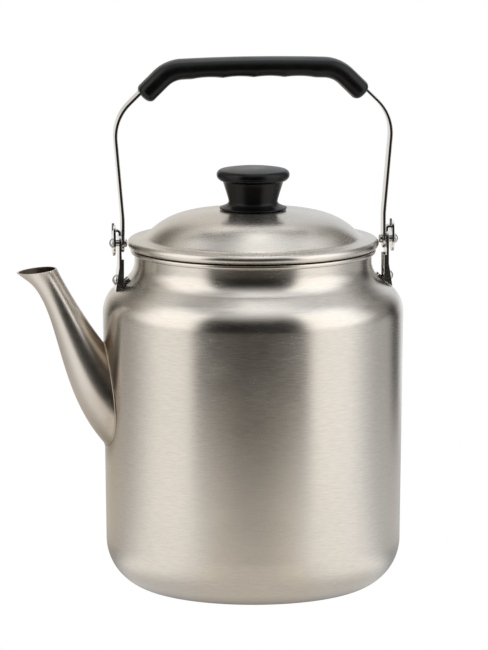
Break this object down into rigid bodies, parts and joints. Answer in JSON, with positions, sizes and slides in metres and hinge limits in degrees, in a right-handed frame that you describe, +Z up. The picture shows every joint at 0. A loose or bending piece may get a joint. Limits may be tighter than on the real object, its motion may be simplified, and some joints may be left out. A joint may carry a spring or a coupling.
{
  "type": "stove kettle",
  "caption": "Tall cylindrical stove kettle with a rolled rim, a tapering side spout, a lift-off domed lid with a turned knob and a swinging strip bail with a moulded grip.",
  "frame": {"origin": "centre of the flat underside of the body", "axes": "+X to the rear, away from the spout; +Y across the bail; +Z up along the body's axis. The spout points along -X and the bail swings about an axis parallel to X"},
  "size_m": [0.2633, 0.2042, 0.3638],
  "materials": {
    "satin_steel": "fine horizontal brush lines, warm grey satin",
    "plain_steel": "plain rolled sheet, half bright",
    "rivet_steel": "plain formed steel",
    "black_plastic": "moulded heat-resistant plastic, satin",
    "insert_brass": "turned brass"
  },
  "bodies": {
    "kettle": {"body_shell": "satin_steel", "spout": "satin_steel", "front_lug_bracket": "plain_steel", "front_lug": "plain_steel", "front_foot_rivet": "rivet_steel", "front_pivot_rivet": "rivet_steel", "rear_lug_bracket": "plain_steel", "rear_lug": "plain_steel", "rear_foot_rivet": "rivet_steel", "rear_pivot_rivet": "rivet_steel"},
    "bail": {"bail_strip": "plain_steel", "bail_grip": "black_plastic"},
    "lid": {"lid_shell": "satin_steel", "lid_collar": "satin_steel", "lid_knob": "black_plastic", "knob_insert": "insert_brass", "knob_screw": "rivet_steel", "knob_washer": "rivet_steel"}
  },
  "joints": [
    {"name": "bail_swing", "type": "hinge", "parent": "kettle", "child": "bail", "pos_m": [0, 0, 0.238], "axis": [1, 0, 0], "range_deg": [-110, 110]},
    {"name": "lid_lift", "type": "slide", "parent": "kettle", "child": "lid", "axis": [0, 0, 1], "range_m": [0, 0.05]}
  ]
}
